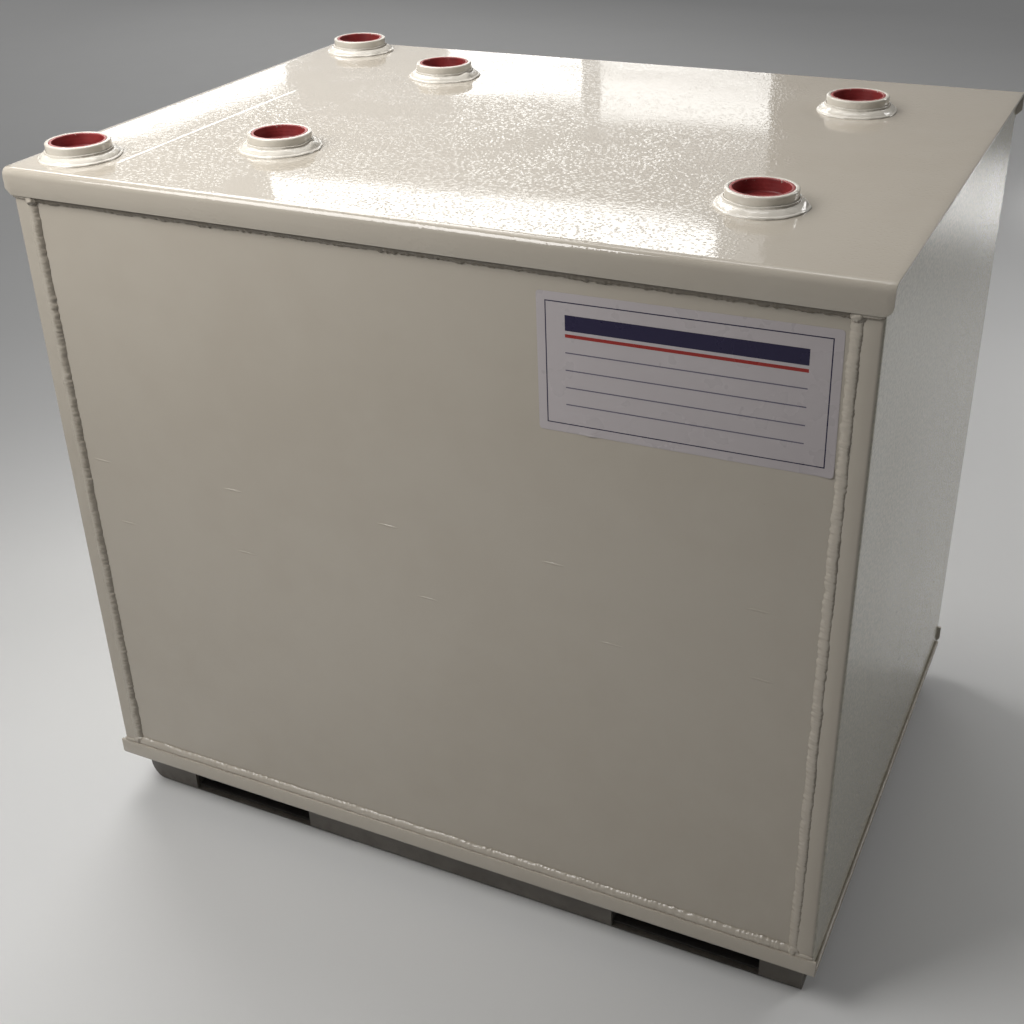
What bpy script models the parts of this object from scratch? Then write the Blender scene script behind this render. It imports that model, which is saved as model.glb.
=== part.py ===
"""Box-shaped steel storage tank on a low base with two fork pockets, about 150 US gallons.

The body is folded sheet: a top and a bottom sheet with lips over the front and back, two side
sheets with narrow flanges, and a flat panel set behind the flanges at each end, welded all round.
Six half couplings stand on top, each closed by a red plastic cup plug.

Metres, +Z up. The origin is on the floor under the middle of the tank. The front faces -Y.
"""

import math

import bmesh
import bpy
from mathutils import Matrix, Vector

GAP = 0.0003  # clearance between pieces that touch

# Body, over the folded sheets
BODY_WIDTH = 0.965
BODY_DEPTH = 0.7184
BODY_HEIGHT = 0.822
SHEET = 0.0034

# Top sheet: wider than the body, folded down at front and back
TOP_OVERHANG = 0.0065
TOP_LIP = 0.030
TOP_BEND = 0.009
TOP_CORNER = 0.010
TOP_CLIP = 0.007

# Bottom sheet, folded up at front and back
BOTTOM_OVERHANG = 0.0037
BOTTOM_LIP = 0.0255
BOTTOM_BEND = 0.007
BOTTOM_CORNER = 0.008

# Side sheets, folded in at front and back, behind the lips
SIDE_FLANGE = 0.021
SIDE_BEND = 0.004
SIDE_NOTCH = 0.0055

# Weld beads
PANEL_BEAD = 0.009
LIP_BEAD_DEPTH = 0.0062
FLANGE_BEAD_DEPTH = 0.0046
TOP_SEAM_BEAD = 0.0055
BOTTOM_SEAM_BEAD = 0.0032
BEAD_STEPS = 4

# Half couplings on the top sheet, with their welds and plugs
BUNG_RADIUS = 0.0365
BORE_RADIUS = 0.031
BUNG_STAND = 0.018
BUNG_BELOW = 0.012
BUNG_CHAMFER = 0.001
WELD_TOE = 0.046
WELD_RISE = 0.0075
PLUG_WALL = 0.003
PLUG_FLOOR = 0.0025
PLUG_HEIGHT = 0.0155
PLUG_SUNK = 0.001
ROUND_STEPS = 32
BUNG_PLACES = {
    "corner_front": (-0.4370, -0.2890),
    "corner_back": (-0.4260, 0.3020),
    "left_front": (-0.2410, -0.1795),
    "left_back": (-0.2330, 0.1985),
    "right_front": (0.3215, -0.1905),
    "right_back": (0.3200, 0.1995),
}

# Base of folded channel, under the body
BASE_HEIGHT = 0.058
BASE_SHEET = 0.0048
BASE_BEND = 0.0072
BASE_WIDTH = 0.936
BASE_SETBACK = 0.029
BASE_FLANGE = 0.038
TOE_RADIUS = 0.030
RUNNER_INSET = 0.032

# Fork pockets through the base, front to back
POCKET_WIDTH = 0.186
POCKET_CENTRES = {"left": -0.2985, "right": 0.3235}
SLEEVE_WALL = 0.003

TOP_Z = BASE_HEIGHT + BODY_HEIGHT
BASE_TOP = BASE_HEIGHT - GAP
SIDES = {"left": -1, "right": 1}
ENDS = {"front": -1, "back": 1}

FINISHES = {
    "almond_enamel": {"colour": (0.62, 0.58, 0.50, 1.0), "roughness": 0.22, "metallic": 0.0},
    "base_enamel": {"colour": (0.24, 0.22, 0.18, 1.0), "roughness": 0.45, "metallic": 0.0},
    "red_plastic": {"colour": (0.42, 0.02, 0.03, 1.0), "roughness": 0.30, "metallic": 0.0},
}


def clear_scene():
    for obj in list(bpy.data.objects):
        bpy.data.objects.remove(obj, do_unlink=True)


def finished(obj, finish):
    """Gives the sub-part a material of its own with one of the tank's finishes."""
    values = FINISHES[finish]
    material = bpy.data.materials.new(f"{obj.name}_{finish}")
    material.use_nodes = True
    shader = material.node_tree.nodes["Principled BSDF"]
    shader.inputs["Base Color"].default_value = values["colour"]
    shader.inputs["Roughness"].default_value = values["roughness"]
    shader.inputs["Metallic"].default_value = values["metallic"]
    obj.data.materials.append(material)
    return obj


def object_from(name, bm, parent=None):
    """Closes the bmesh into a named object, smooth on its bends and sharp on its edges."""
    bmesh.ops.recalc_face_normals(bm, faces=bm.faces)
    mesh = bpy.data.meshes.new(name)
    bm.to_mesh(mesh)
    bm.free()
    mesh.shade_smooth()
    mesh.set_sharp_from_angle(angle=math.radians(35))
    obj = bpy.data.objects.new(name, mesh)
    bpy.context.scene.collection.objects.link(obj)
    obj.parent = parent
    return obj


def turned_to(x_axis, z_axis):
    """The rotation that carries a shape's own X and Z to these two directions."""
    x = Vector(x_axis)
    z = Vector(z_axis)
    return Matrix((x, z.cross(x), z)).transposed().to_euler()


def prism(name, outline, length, parent=None):
    """An outline in the shape's own XZ plane, pulled out evenly along its own Y."""
    bm = bmesh.new()
    start = [bm.verts.new((x, -length / 2, z)) for x, z in outline]
    face = bm.faces.new(start)
    pulled = bmesh.ops.extrude_face_region(bm, geom=[face])
    moved = [item for item in pulled["geom"] if isinstance(item, bmesh.types.BMVert)]
    bmesh.ops.translate(bm, vec=(0, length, 0), verts=moved)
    return object_from(name, bm, parent)


def box(name, size, centre, parent=None):
    bm = bmesh.new()
    bmesh.ops.create_cube(bm, size=1)
    bmesh.ops.scale(bm, vec=size, verts=bm.verts)
    obj = object_from(name, bm, parent)
    obj.location = centre
    return obj


def turned(name, profile, parent=None):
    """A closed (radius, height) profile spun round the shape's own Z."""
    bm = bmesh.new()
    rings = []
    for step in range(ROUND_STEPS):
        angle = 2 * math.pi * step / ROUND_STEPS
        rings.append(
            [bm.verts.new((r * math.cos(angle), r * math.sin(angle), z)) for r, z in profile]
        )
    for this, following in zip(rings, rings[1:] + rings[:1]):
        for i in range(len(profile)):
            j = (i + 1) % len(profile)
            bm.faces.new((this[i], this[j], following[j], following[i]))
    return object_from(name, bm, parent)


def disc(name, radius, height, parent=None):
    bm = bmesh.new()
    bmesh.ops.create_cone(
        bm, cap_ends=True, segments=ROUND_STEPS, radius1=radius, radius2=radius, depth=height
    )
    return object_from(name, bm, parent)


def shaped_by(obj, tool):
    """Cuts obj with a tool that stays in the scene as a hidden guide."""
    tool.hide_render = True
    tool.display_type = "WIRE"
    modifier = obj.modifiers.new(tool.name, "BOOLEAN")
    modifier.operation = "DIFFERENCE"
    modifier.solver = "EXACT"
    modifier.object = tool


def arc(centre, radius, first, last, steps=4):
    """Points round a centre, from one angle to another in degrees."""
    points = []
    for step in range(steps + 1):
        angle = math.radians(first + (last - first) * step / steps)
        points.append((centre[0] + radius * math.cos(angle), centre[1] + radius * math.sin(angle)))
    return points


def channel(name, web, flange, sheet, bend, length, parent=None):
    """Folded sheet of U section: its web lies in XY with the outer face at Z 0, its flanges
    hang towards -Z, and it runs along its own Y."""
    half = web / 2
    inner = bend - sheet
    outline = [(-half, -flange)]
    outline += arc((-half + bend, -bend), bend, 180, 90)
    outline += arc((half - bend, -bend), bend, 90, 0)
    outline += [(half, -flange), (half - sheet, -flange)]
    outline += arc((half - bend, -bend), inner, 0, 90)
    outline += arc((-half + bend, -bend), inner, 90, 180)
    outline += [(-half + sheet, -flange)]
    return prism(name, outline, length, parent)


def bead(name, leg_x, leg_z, length, parent=None):
    """A weld run in a corner: its root is at the origin, its legs lie along +X and +Z."""
    crown = []
    for step in range(BEAD_STEPS + 1):
        angle = math.radians(90 * step / BEAD_STEPS)
        crown.append((leg_x * math.cos(angle), leg_z * math.sin(angle)))
    return prism(name, [(0, 0)] + crown, length, parent)


def corner_tool(name, size, depth, rounded, parent):
    """What a plate's corner loses: a square with its inner side round, or a plain triangle."""
    reach = 0.002
    outline = [(size, -reach), (-reach, -reach), (-reach, size)]
    outline += arc((size, size), size, 180, 270, 6)[1:-1] if rounded else []
    return prism(name, outline, depth, parent)


def trim_lower_corner(sheet, end, side, size, rounded, width, low, tank):
    """Takes the lower corner off one end of a lip, round or straight."""
    x_sign = SIDES[side]
    tool = corner_tool(f"{sheet.name}_{end}_{side}_corner", size, 4 * SHEET, rounded, tank)
    tool.rotation_euler = turned_to((-x_sign, 0, 0), (0, 0, 1))
    tool.location = (x_sign * width / 2, ENDS[end] * (BODY_DEPTH - SHEET) / 2, low)
    shaped_by(sheet, tool)


def top_sheet(tank):
    width = BODY_WIDTH + 2 * TOP_OVERHANG
    sheet = channel("top_sheet", BODY_DEPTH, TOP_LIP, SHEET, TOP_BEND, width, tank)
    sheet.rotation_euler = turned_to((0, 1, 0), (0, 0, 1))
    sheet.location = (0, 0, TOP_Z)
    for end, y_sign in ENDS.items():
        for side, x_sign in SIDES.items():
            rounded = x_sign * y_sign > 0
            size = TOP_CORNER if rounded else TOP_CLIP
            trim_lower_corner(sheet, end, side, size, rounded, width, TOP_Z - TOP_LIP, tank)
    for place, (x, y) in BUNG_PLACES.items():
        hole = disc(f"bung_hole_{place}", BUNG_RADIUS + GAP, 4 * SHEET, tank)
        hole.location = (x, y, TOP_Z - SHEET / 2)
        shaped_by(sheet, hole)
    return finished(sheet, "almond_enamel")


def bottom_sheet(tank):
    width = BODY_WIDTH + 2 * BOTTOM_OVERHANG
    sheet = channel("bottom_sheet", BODY_DEPTH, BOTTOM_LIP, SHEET, BOTTOM_BEND, width, tank)
    sheet.rotation_euler = turned_to((0, -1, 0), (0, 0, -1))
    sheet.location = (0, 0, BASE_HEIGHT)
    for end, side in (("front", "left"), ("back", "right")):
        trim_lower_corner(sheet, end, side, BOTTOM_CORNER, True, width, BASE_HEIGHT, tank)
    return finished(sheet, "almond_enamel")


def side_sheet(side, x_sign, tank):
    """One side of the body. Its flanges stop short of the bends in the top and bottom sheets."""
    low = BASE_HEIGHT + SHEET + GAP
    high = TOP_Z - SHEET - GAP
    depth = BODY_DEPTH - 2 * (SHEET + GAP)
    sheet = channel(
        f"{side}_side_sheet", depth, SIDE_FLANGE, SHEET, SIDE_BEND, high - low, tank
    )
    sheet.rotation_euler = turned_to((0, x_sign, 0), (x_sign, 0, 0))
    sheet.location = (x_sign * BODY_WIDTH / 2, 0, (low + high) / 2)
    for end, y_sign in ENDS.items():
        for level, z in (("low", low), ("high", high)):
            notch = box(
                f"{side}_{end}_{level}_notch",
                (4 * SIDE_FLANGE, 2 * SIDE_NOTCH, 2 * SIDE_NOTCH),
                (x_sign * BODY_WIDTH / 2, y_sign * depth / 2, z),
                tank,
            )
            shaped_by(sheet, notch)
    return finished(sheet, "almond_enamel")


def panel_face():
    """How far the outer face of an end panel lies from the middle of the tank."""
    return BODY_DEPTH / 2 - 2 * (SHEET + GAP)


def end_panel(end, y_sign, tank):
    low = BASE_HEIGHT + SHEET + GAP
    high = TOP_Z - SHEET - 2 * GAP
    width = BODY_WIDTH - 2 * (SHEET + GAP)
    centre = (0, y_sign * (panel_face() - SHEET / 2), (low + high) / 2)
    panel = box(f"{end}_panel", (width, SHEET, high - low), centre, tank)
    return finished(panel, "almond_enamel")


def end_welds(end, y_sign, tank):
    """The four runs that join one end panel to the two lips and the two side flanges."""
    root_y = y_sign * (panel_face() + GAP)
    lip_low = BASE_HEIGHT + BOTTOM_LIP + GAP
    lip_high = TOP_Z - TOP_LIP - GAP
    flange_edge = BODY_WIDTH / 2 - SIDE_FLANGE - GAP
    out = (0, y_sign, 0)
    for level, z, up in (("bottom", lip_low, 1), ("top", lip_high, -1)):
        run = bead(f"{end}_weld_{level}", LIP_BEAD_DEPTH, PANEL_BEAD, 2 * flange_edge, tank)
        run.rotation_euler = turned_to(out, (0, 0, up))
        run.location = (0, root_y, z)
        finished(run, "almond_enamel")
    low = lip_low + PANEL_BEAD + GAP
    high = lip_high - PANEL_BEAD - GAP
    for side, x_sign in SIDES.items():
        run = bead(f"{end}_weld_{side}", FLANGE_BEAD_DEPTH, PANEL_BEAD, high - low, tank)
        run.rotation_euler = turned_to(out, (-x_sign, 0, 0))
        run.location = (x_sign * flange_edge, root_y, (low + high) / 2)
        finished(run, "almond_enamel")


def seam_welds(side, x_sign, tank):
    """The runs along one side: under the top sheet's edge, and on the bottom sheet's edge."""
    x = x_sign * (BODY_WIDTH / 2 + GAP)
    length = BODY_DEPTH - 2 * (TOP_BEND + GAP)
    out = (x_sign, 0, 0)
    runs = (
        ("top", TOP_Z - SHEET - GAP, -1, TOP_SEAM_BEAD),
        ("bottom", BASE_HEIGHT + SHEET + GAP, 1, BOTTOM_SEAM_BEAD),
    )
    for level, z, up, leg in runs:
        run = bead(f"{side}_seam_weld_{level}", leg, leg, length, tank)
        run.rotation_euler = turned_to(out, (0, 0, up))
        run.location = (x, 0, z)
        finished(run, "almond_enamel")


def bung(place, x, y, tank):
    """Half coupling through the top sheet, open at both ends."""
    low = -SHEET - BUNG_BELOW
    profile = [
        (BUNG_RADIUS, low),
        (BUNG_RADIUS, BUNG_STAND - BUNG_CHAMFER),
        (BUNG_RADIUS - BUNG_CHAMFER, BUNG_STAND),
        (BORE_RADIUS + BUNG_CHAMFER, BUNG_STAND),
        (BORE_RADIUS, BUNG_STAND - BUNG_CHAMFER),
        (BORE_RADIUS, low),
    ]
    piece = turned(f"bung_{place}", profile, tank)
    piece.location = (x, y, TOP_Z)
    return finished(piece, "almond_enamel")


def bung_weld(place, x, y, tank):
    inner = BUNG_RADIUS + GAP
    reach = WELD_TOE - inner
    profile = [(inner, GAP)]
    for step in range(BEAD_STEPS + 1):
        angle = math.radians(90 * step / BEAD_STEPS)
        profile.append((inner + reach * math.cos(angle), GAP + WELD_RISE * math.sin(angle)))
    piece = turned(f"bung_weld_{place}", profile, tank)
    piece.location = (x, y, TOP_Z)
    return finished(piece, "almond_enamel")


def plug(place, x, y, tank):
    """Cup plug inside the bore, with its rim just below the coupling's rim."""
    radius = BORE_RADIUS - GAP
    high = BUNG_STAND - PLUG_SUNK
    low = high - PLUG_HEIGHT
    bm = bmesh.new()
    bmesh.ops.create_cone(
        bm, cap_ends=True, segments=ROUND_STEPS, radius1=radius, radius2=radius, depth=PLUG_HEIGHT
    )
    top = max(bm.faces, key=lambda face: face.calc_center_median().z)
    bmesh.ops.inset_region(bm, faces=[top], thickness=PLUG_WALL, use_even_offset=True)
    bmesh.ops.translate(bm, vec=(0, 0, PLUG_FLOOR - PLUG_HEIGHT), verts=top.verts)
    piece = object_from(f"plug_{place}", bm, tank)
    piece.location = (x, y, TOP_Z + (low + high) / 2)
    return finished(piece, "red_plastic")


def pocket_tool(name, side, depth, y, parent):
    """The window that one fork pocket makes in a rail's web, between its two flanges."""
    size = (POCKET_WIDTH, depth, BASE_TOP - 2 * BASE_SHEET)
    centre = (POCKET_CENTRES[side], y, BASE_TOP / 2)
    return box(name, size, centre, parent)


def base_rail(end, y_sign, tank):
    """Cross rail of the base. Its toe, at one end of the lower edge, is round; the back rail is
    the same piece turned round."""
    y = y_sign * (BODY_DEPTH / 2 - BASE_SETBACK)
    rail = channel(
        f"base_{end}_rail", BASE_TOP, BASE_FLANGE, BASE_SHEET, BASE_BEND, BASE_WIDTH, tank
    )
    rail.rotation_euler = turned_to((0, 0, 1), (0, y_sign, 0))
    rail.location = (0, y, BASE_TOP / 2)
    toe = corner_tool(f"base_{end}_toe", TOE_RADIUS, 3 * BASE_FLANGE, True, tank)
    toe.rotation_euler = turned_to((-y_sign, 0, 0), (0, 0, 1))
    toe.location = (y_sign * BASE_WIDTH / 2, y, 0)
    shaped_by(rail, toe)
    for side in SIDES:
        window = pocket_tool(f"base_{end}_{side}_window", side, 4 * BASE_SHEET, y, tank)
        shaped_by(rail, window)
    return finished(rail, "base_enamel")


def base_runner(side, x_sign, tank):
    """End runner of the base, between the flanges' ends of the two rails."""
    rail_inside = BODY_DEPTH / 2 - BASE_SETBACK - BASE_FLANGE
    runner = channel(
        f"base_{side}_runner",
        BASE_TOP,
        BASE_FLANGE,
        BASE_SHEET,
        BASE_BEND,
        2 * (rail_inside - GAP),
        tank,
    )
    runner.rotation_euler = turned_to((0, 0, 1), (x_sign, 0, 0))
    runner.location = (x_sign * (BASE_WIDTH / 2 - RUNNER_INSET), 0, BASE_TOP / 2)
    return finished(runner, "base_enamel")


def fork_sleeve(side, tank):
    """Rectangular tube that lines one fork pocket. It stops at the bends of the two rails."""
    length = 2 * (BODY_DEPTH / 2 - BASE_SETBACK - BASE_BEND - GAP)
    height = BASE_TOP - 2 * (BASE_SHEET + GAP)
    centre = (POCKET_CENTRES[side], 0, BASE_TOP / 2)
    size = (POCKET_WIDTH + 2 * SLEEVE_WALL, length, height)
    sleeve = box(f"fork_sleeve_{side}", size, centre, tank)
    bore_size = (POCKET_WIDTH, 1.2 * length, height - 2 * SLEEVE_WALL)
    bore = box(f"fork_sleeve_{side}_bore", bore_size, centre, tank)
    shaped_by(sleeve, bore)
    return finished(sleeve, "base_enamel")


def main():
    clear_scene()
    tank = bpy.data.objects.new("storage_tank", None)
    bpy.context.scene.collection.objects.link(tank)
    top_sheet(tank)
    bottom_sheet(tank)
    for side, x_sign in SIDES.items():
        side_sheet(side, x_sign, tank)
        seam_welds(side, x_sign, tank)
        base_runner(side, x_sign, tank)
        fork_sleeve(side, tank)
    for end, y_sign in ENDS.items():
        end_panel(end, y_sign, tank)
        end_welds(end, y_sign, tank)
        base_rail(end, y_sign, tank)
    for place, (x, y) in BUNG_PLACES.items():
        bung(place, x, y, tank)
        bung_weld(place, x, y, tank)
        plug(place, x, y, tank)


main()
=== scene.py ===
import math

import bpy
from mathutils import Matrix, Vector, noise


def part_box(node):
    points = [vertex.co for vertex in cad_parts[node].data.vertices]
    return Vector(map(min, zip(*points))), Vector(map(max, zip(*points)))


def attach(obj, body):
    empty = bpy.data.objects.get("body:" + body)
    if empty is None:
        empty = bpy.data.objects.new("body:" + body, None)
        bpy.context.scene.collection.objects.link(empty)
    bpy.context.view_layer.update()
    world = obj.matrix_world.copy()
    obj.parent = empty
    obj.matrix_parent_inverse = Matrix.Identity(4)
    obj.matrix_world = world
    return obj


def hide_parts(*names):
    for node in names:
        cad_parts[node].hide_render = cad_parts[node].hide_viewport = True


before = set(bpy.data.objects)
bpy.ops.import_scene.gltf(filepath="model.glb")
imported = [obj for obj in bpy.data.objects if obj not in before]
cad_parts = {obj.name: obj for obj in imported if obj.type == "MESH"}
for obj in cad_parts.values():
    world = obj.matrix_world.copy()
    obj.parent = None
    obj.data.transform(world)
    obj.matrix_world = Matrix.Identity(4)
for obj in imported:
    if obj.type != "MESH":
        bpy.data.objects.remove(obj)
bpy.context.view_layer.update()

hair = 1e-5  # two points closer than this are the same place
cutGap, mergeGap = 1e-6, 30 * hair  # for cuts, and for points that a cut leaves close together
body = {"sheet": 0.0034, "edge": 0.0005, "smooth": 40}
ends = {"front": -1, "back": 1}
sides = {"left": -1, "right": 1}


# Small tools of the bench

def only(piece):
    bpy.ops.object.select_all(action="DESELECT")
    piece.select_set(True)
    bpy.context.view_layer.objects.active = piece
    return piece


def settle(piece):  # its place, turn and size go into the mesh
    only(piece)
    bpy.ops.object.transform_apply(location=True, rotation=True, scale=True)
    return piece


def begin(name, add, **settings):  # a primitive, added alone at its size and place
    bpy.ops.object.select_all(action="DESELECT")
    add(**settings)
    piece = bpy.context.object
    piece.name = piece.data.name = name
    return settle(piece)


def pick(piece, kind, test):  # edit mode, with what passes the test by its corner points selected
    only(piece)
    mesh = piece.data
    points = [vert.co.copy() for vert in mesh.vertices]
    for group in (mesh.vertices, mesh.edges, mesh.polygons):
        group.foreach_set("select", [False] * len(group))
    chosen = {"VERT": mesh.vertices, "EDGE": mesh.edges, "FACE": mesh.polygons}[kind]
    for item in chosen:
        corners = (item.index,) if kind == "VERT" else item.vertices
        item.select = test([points[corner] for corner in corners])
    bpy.context.tool_settings.mesh_select_mode = [kind == word for word in ("VERT", "EDGE", "FACE")]
    bpy.ops.object.mode_set(mode="EDIT")


def anywhere(points):
    return True


def back():
    bpy.ops.object.mode_set(mode="OBJECT")


def stand(piece, xAxis, zAxis, place):  # carries the piece's own X and Z to these directions
    x, z = Vector(xAxis), Vector(zAxis)
    turn = Matrix((x, z.cross(x), z)).transposed().to_4x4()
    piece.matrix_world = Matrix.Translation(place) @ turn
    return settle(piece)


def use(piece, kind, **settings):  # one modifier, applied at once
    only(piece)
    modifier = piece.modifiers.new(kind.title(), kind)
    for name, value in settings.items():
        setattr(modifier, name, value)
    bpy.ops.object.modifier_apply(modifier=modifier.name)


def thicken(piece, sheet, edge):
    use(piece, "SOLIDIFY", thickness=sheet, offset=-1)
    soften(piece, edge)


def soften(piece, edge):
    use(piece, "BEVEL", width=edge, segments=2, limit_method="ANGLE", angle_limit=math.radians(50))


def cutWith(piece, tool):
    use(piece, "BOOLEAN", operation="DIFFERENCE", solver="EXACT", object=tool)
    bpy.data.objects.remove(tool)


def copyOf(piece, name, place):  # a copy with a mesh of its own, moved to its place
    twin = piece.copy()
    twin.data = piece.data.copy()
    twin.name = twin.data.name = name
    bpy.context.collection.objects.link(twin)
    twin.location = place
    return settle(twin)


def lump(point, size, seed):  # smooth noise of one grain size, about -1 to 1
    return noise.noise(point / size + Vector((seed, 1.7 * seed, 0.3 * seed)))


def ease(value):
    value = min(1, max(0, value))
    return value * value * (3 - 2 * value)


def dress(piece, material, slot, *nodes):  # finish, body and the plain solids it stands for; the slot argument is not used
    only(piece)
    piece.data.materials.clear()
    piece.data.materials.append(material)
    bpy.ops.object.shade_smooth_by_angle(angle=math.radians(body["smooth"]))
    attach(piece, "root")
    if nodes:
        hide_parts(*nodes)
    return piece


# Shader tools

def feed(tree, node, sockets):  # each socket takes a link or a plain value
    for key, value in sockets.items():
        if isinstance(value, bpy.types.NodeSocket):
            tree.links.new(value, node.inputs[key])
        else:
            node.inputs[key].default_value = value
    return node


def put(tree, kind, sockets=None, **settings):
    node = tree.nodes.new("ShaderNode" + kind)
    for name, value in settings.items():
        setattr(node, name, value)
    return feed(tree, node, sockets or {})


def calc(tree, operation, first, second=0.0, third=0.0):
    sockets = {0: first, 1: second}
    if operation in ("MULTIPLY_ADD", "COMPARE"):
        sockets[2] = third
    return put(tree, "Math", sockets, operation=operation).outputs[0]


def times(tree, first, second):
    return calc(tree, "MULTIPLY", first, second)


def span(tree, value, low, high, start=0.0, end=1.0):  # a soft step from low to high
    sockets = {"Value": value, "From Min": low, "From Max": high, "To Min": start, "To Max": end}
    return put(tree, "MapRange", sockets, interpolation_type="SMOOTHSTEP").outputs["Result"]


def blendColour(tree, amount, first, second):
    sockets = {0: amount, 6: first, 7: second}
    return put(tree, "Mix", sockets, data_type="RGBA").outputs[2]


def grain(tree, place, scale, detail=2.0, rough=0.5):
    sockets = {"Vector": place, "Scale": scale, "Detail": detail, "Roughness": rough}
    return put(tree, "TexNoise", sockets).outputs[0]


def facing(tree, axis):  # how far the surface looks along one axis
    normal = put(tree, "NewGeometry").outputs["Normal"]
    return put(tree, "SeparateXYZ", {0: normal}).outputs[axis]


def newGroup(name, inputs, outputs):
    group = bpy.data.node_groups.new(name, "ShaderNodeTree")
    for way, sockets in (("INPUT", inputs), ("OUTPUT", outputs)):
        for label, kind in sockets.items():
            group.interface.new_socket(label, in_out=way, socket_type="NodeSocket" + kind)
    return group, group.nodes.new("NodeGroupInput").outputs, group.nodes.new("NodeGroupOutput")


def groupIn(tree, name, **sockets):
    node = tree.nodes.new("ShaderNodeGroup")
    node.node_tree = groups[name]
    return feed(tree, node, sockets).outputs


def makeOrangePeel():  # the fine swirls that sprayed enamel dries with
    group, given, result = newGroup(
        "orangePeel", {"Position": "Vector", "Grain": "Float"}, {"Height": "Float"}
    )
    place = given["Position"]
    fineScale = calc(group, "DIVIDE", 1.0, given["Grain"])
    fine = grain(group, place, fineScale, 1.0)
    broad = grain(group, place, times(group, fineScale, 0.24), 1.0)
    feed(group, result, {"Height": calc(group, "MULTIPLY_ADD", broad, 0.5, fine)})
    return group


def makePaintFilm():  # slow changes of tint and gloss over a sprayed coat, with a few dust nibs
    group, given, result = newGroup(
        "paintFilm",
        {"Position": "Vector", "Paint": "Color", "Thin": "Color", "Gloss": "Float"},
        {"Colour": "Color", "Roughness": "Float", "Nibs": "Float"},
    )
    place = given["Position"]
    clouds = grain(group, place, 3.1, 3.0, 0.55)
    drift = grain(group, place, 21.0, 2.0)
    tint = calc(group, "MULTIPLY_ADD", drift, 0.35, times(group, clouds, 0.65))
    colour = blendColour(group, span(group, tint, 0.38, 0.68), given["Paint"], given["Thin"])
    cells = put(group, "TexVoronoi", {"Vector": place, "Scale": 46.0})
    nibs = span(group, cells.outputs["Distance"], 0.035, 0.012)
    nibs = times(group, nibs, span(group, cells.outputs["Color"], 0.60, 0.66))
    colour = blendColour(group, times(group, nibs, 0.35), colour, enamel["nib"])
    gloss = calc(group, "MULTIPLY_ADD", clouds, 0.03, given["Gloss"])
    gloss = calc(group, "MULTIPLY_ADD", nibs, 0.25, gloss)
    feed(group, result, {"Colour": colour, "Roughness": gloss, "Nibs": nibs})
    return group


def makePaintedFlankReflection():  # painted shade and reflection on the wide sides: an olive cast and mottled specks, for the shade on them and the dark surround that the gloss mirrors
    group, given, result = newGroup(
        "flankTint", {"Position": "Vector", "Coat": "Color", "Tint": "Color", "Mottle": "Color"},
        {"Colour": "Color"},
    )
    place = given["Position"]
    mask = span(group, calc(group, "ABSOLUTE", facing(group, "X")), 0.45, 0.9)
    long = put(group, "Mapping", {"Vector": place, "Scale": (1, 0.45, 1)}).outputs[0]
    specks = span(group, grain(group, long, 330.0, 3.0, 0.7), 0.36, 0.64)
    mottled = blendColour(group, specks, given["Tint"], given["Mottle"])
    feed(group, result, {"Colour": blendColour(group, mask, given["Coat"], mottled)})
    return group


def droplets(tree, place, given):  # the small domes that the spray left, thick in some patches
    cells = put(tree, "TexVoronoi", {"Vector": place, "Scale": 215.0})
    domes = span(tree, cells.outputs["Distance"], 0.46, 0.02)
    clusters = span(tree, grain(tree, place, 13.0, 1.0), 0.36, 0.64, 0.45, 1.20)
    return times(tree, domes, clusters)


def settledDust(tree, place, given):  # on what faces up, in soft patches
    patches = span(tree, grain(tree, place, 9.0, 5.0, 0.6), 0.35, 0.75)
    return times(tree, span(tree, facing(tree, "Z"), 0.35, 0.95), patches)


def creviceShade(tree, place, given):  # painted shade in the hollow places of a rough surface, broken up by noise
    hollow = put(tree, "NewGeometry").outputs["Pointiness"]
    broken = span(tree, grain(tree, place, 260.0, 3.0), 0.30, 0.65)
    return times(tree, span(tree, hollow, 0.495, 0.43), broken)


def paintedShadeAway(tree, place, given):  # painted shade on what faces down and to the right, away from the lamps
    normal = put(tree, "NewGeometry").outputs["Normal"]
    away = put(tree, "VectorMath", {0: normal, 1: (0.75, 0.0, -0.66)}, operation="DOT_PRODUCT")
    ragged = grain(tree, place, 240.0, 3.0, 0.6)
    turned = calc(tree, "MULTIPLY_ADD", ragged, 0.5, away.outputs["Value"])
    return span(tree, calc(tree, "ADD", turned, given["Bias"]), 0.30, 0.75)


def paintedEdgeHighlight(tree, place, given):  # painted highlight: sharp edges are made pale and bright
    return span(tree, put(tree, "NewGeometry").outputs["Pointiness"], 0.515, 0.60)


def darkerNearFloor(tree, place, given):  # darker towards the floor, in ragged patches
    height = put(tree, "SeparateXYZ", {0: place}).outputs["Z"]
    ragged = calc(tree, "MULTIPLY_ADD", grain(tree, place, 32.0, 4.0), 0.05, height)
    low = span(tree, calc(tree, "DIVIDE", ragged, given["Top"]), 1.0, 0.25)
    streaks = span(tree, grain(tree, place, 120.0, 3.0), 0.25, 0.75, 0.4, 1.0)
    return times(tree, low, streaks)


def amountGroup(rule, output="Mask", *more):  # a group that puts out its rule times an amount
    inputs = {"Position": "Vector", "Amount": "Float"}
    inputs.update({label: "Float" for label in more})
    group, given, result = newGroup(rule.__name__, inputs, {output: "Float"})
    feed(group, result, {output: times(group, rule(group, given["Position"], given), given["Amount"])})
    return group


# Finishes

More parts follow.
